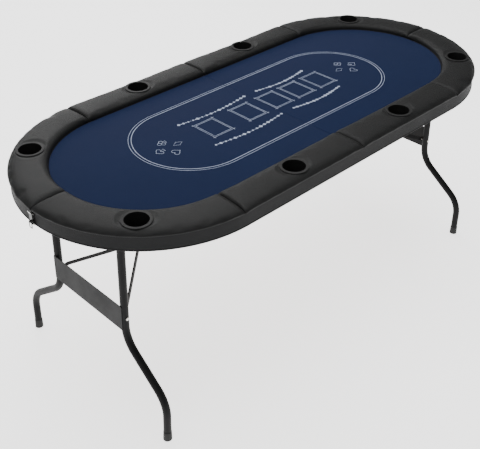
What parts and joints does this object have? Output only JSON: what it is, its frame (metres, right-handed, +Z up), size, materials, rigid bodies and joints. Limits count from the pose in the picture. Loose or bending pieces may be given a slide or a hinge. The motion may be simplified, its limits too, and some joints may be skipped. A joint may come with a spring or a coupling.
{
  "type": "folding poker table",
  "caption": "Long round-ended folding card table with navy playing cloth, padded black rail, drop-in cup holders and folding tube legs.",
  "frame": {"origin": "on the floor midway between the four feet, under the fold line", "axes": "+X along the table towards the half that has the catch, +Y across it towards the back, +Z up"},
  "size_m": [1.844, 0.8466, 0.7618],
  "materials": {
    "board": "raw board",
    "foam": "soft foam",
    "cloth": "smooth speed cloth",
    "apron_laminate": "black laminate",
    "vinyl": "black grained vinyl",
    "cup": "black moulded",
    "zinc": "zinc plated",
    "black_steel": "black powder coat",
    "cap": "moulded",
    "black_metal": "black enamel"
  },
  "bodies": {
    "left_table": {"left_deck_board": "board", "left_foam_underlay": "foam", "left_playing_cloth": "cloth", "left_rail_board": "board", "left_apron": "apron_laminate", "left_cross_rail": "board", "left_front_straight_pad": "vinyl", "left_front_end_pad": "vinyl", "left_back_straight_pad": "vinyl", "left_back_end_pad": "vinyl", "left_cup_holders": "cup", "left_hinge_leaves": "zinc", "left_wood_screws": "zinc", "left_leg_pivot_clips": "zinc", "left_strut_anchor": "zinc", "left_strut_anchor_pin": "zinc", "hinge_pins": "zinc", "latch_base": "black_metal", "latch_rivets": "zinc", "latch_pin": "zinc"},
    "left_legs": {"left_front_leg_tube": "black_steel", "left_back_leg_tube": "black_steel", "left_pivot_tube": "black_steel", "left_cross_panel": "black_steel", "left_foot_caps": "cap", "left_stay_rivets": "zinc"},
    "left_fork": {"left_stay_fork": "black_steel", "left_knee_rivets": "zinc"},
    "left_strut": {"left_stay_strut": "black_steel", "left_knee_pin": "zinc"},
    "right_table": {"right_deck_board": "board", "right_foam_underlay": "foam", "right_playing_cloth": "cloth", "right_rail_board": "board", "right_apron": "apron_laminate", "right_cross_rail": "board", "right_front_straight_pad": "vinyl", "right_front_end_pad": "vinyl", "right_back_straight_pad": "vinyl", "right_back_end_pad": "vinyl", "right_cup_holders": "cup", "right_hinge_leaves": "zinc", "right_wood_screws": "zinc", "right_leg_pivot_clips": "zinc", "right_strut_anchor": "zinc", "right_strut_anchor_pin": "zinc", "latch_catch": "black_metal", "catch_rivets": "zinc"},
    "right_legs": {"right_front_leg_tube": "black_steel", "right_back_leg_tube": "black_steel", "right_pivot_tube": "black_steel", "right_cross_panel": "black_steel", "right_foot_caps": "cap", "right_stay_rivets": "zinc"},
    "right_fork": {"right_stay_fork": "black_steel", "right_knee_rivets": "zinc"},
    "right_strut": {"right_stay_strut": "black_steel", "right_knee_pin": "zinc"},
    "lever": {"latch_lever": "black_metal"},
    "bail": {"latch_bail": "zinc"}
  },
  "joints": [
    {"name": "table_fold", "type": "hinge", "parent": "left_table", "child": "right_table", "pos_m": [0, 0, 0.6957], "axis": [0, 1, 0], "range_deg": [0, 90]},
    {"name": "left_leg_fold", "type": "hinge", "parent": "left_table", "child": "left_legs", "pos_m": [-0.74645, 0, 0.712], "axis": [0, -1, 0], "range_deg": [0, 92.38]},
    {"name": "left_fork_swing", "type": "hinge", "parent": "left_legs", "child": "left_fork", "pos_m": [-0.76065, 0, 0.37], "axis": [0, -1, 0], "range_deg": [0, 64.87]},
    {"name": "left_strut_swing", "type": "hinge", "parent": "left_table", "child": "left_strut", "pos_m": [-0.036, 0, 0.706], "axis": [0, 1, 0], "range_deg": [0, 26.25]},
    {"name": "right_leg_fold", "type": "hinge", "parent": "right_table", "child": "right_legs", "pos_m": [0.74645, 0, 0.712], "axis": [0, 1, 0], "range_deg": [0, 92.38]},
    {"name": "right_fork_swing", "type": "hinge", "parent": "right_legs", "child": "right_fork", "pos_m": [0.76065, 0, 0.37], "axis": [0, 1, 0], "range_deg": [0, 64.87]},
    {"name": "right_strut_swing", "type": "hinge", "parent": "right_table", "child": "right_strut", "pos_m": [0.036, 0, 0.706], "axis": [0, -1, 0], "range_deg": [0, 26.25]},
    {"name": "latch_lever_swing", "type": "hinge", "parent": "left_table", "child": "lever", "pos_m": [-0.915, 0, 0.702], "axis": [0, -1, 0], "range_deg": [0, 150]},
    {"name": "latch_bail_swing", "type": "hinge", "parent": "lever", "child": "bail", "pos_m": [-0.9194, 0, 0.708], "axis": [0, -1, 0], "range_deg": [-150.01, 0]}
  ],
  "couplings": [
    {"joint": "left_fork_swing", "follows": "left_leg_fold", "ratio": 0.70211},
    {"joint": "left_strut_swing", "follows": "left_leg_fold", "ratio": 0.2841},
    {"joint": "right_fork_swing", "follows": "right_leg_fold", "ratio": 0.70211},
    {"joint": "right_strut_swing", "follows": "right_leg_fold", "ratio": 0.2841},
    {"joint": "latch_bail_swing", "follows": "latch_lever_swing", "ratio": -1}
  ]
}
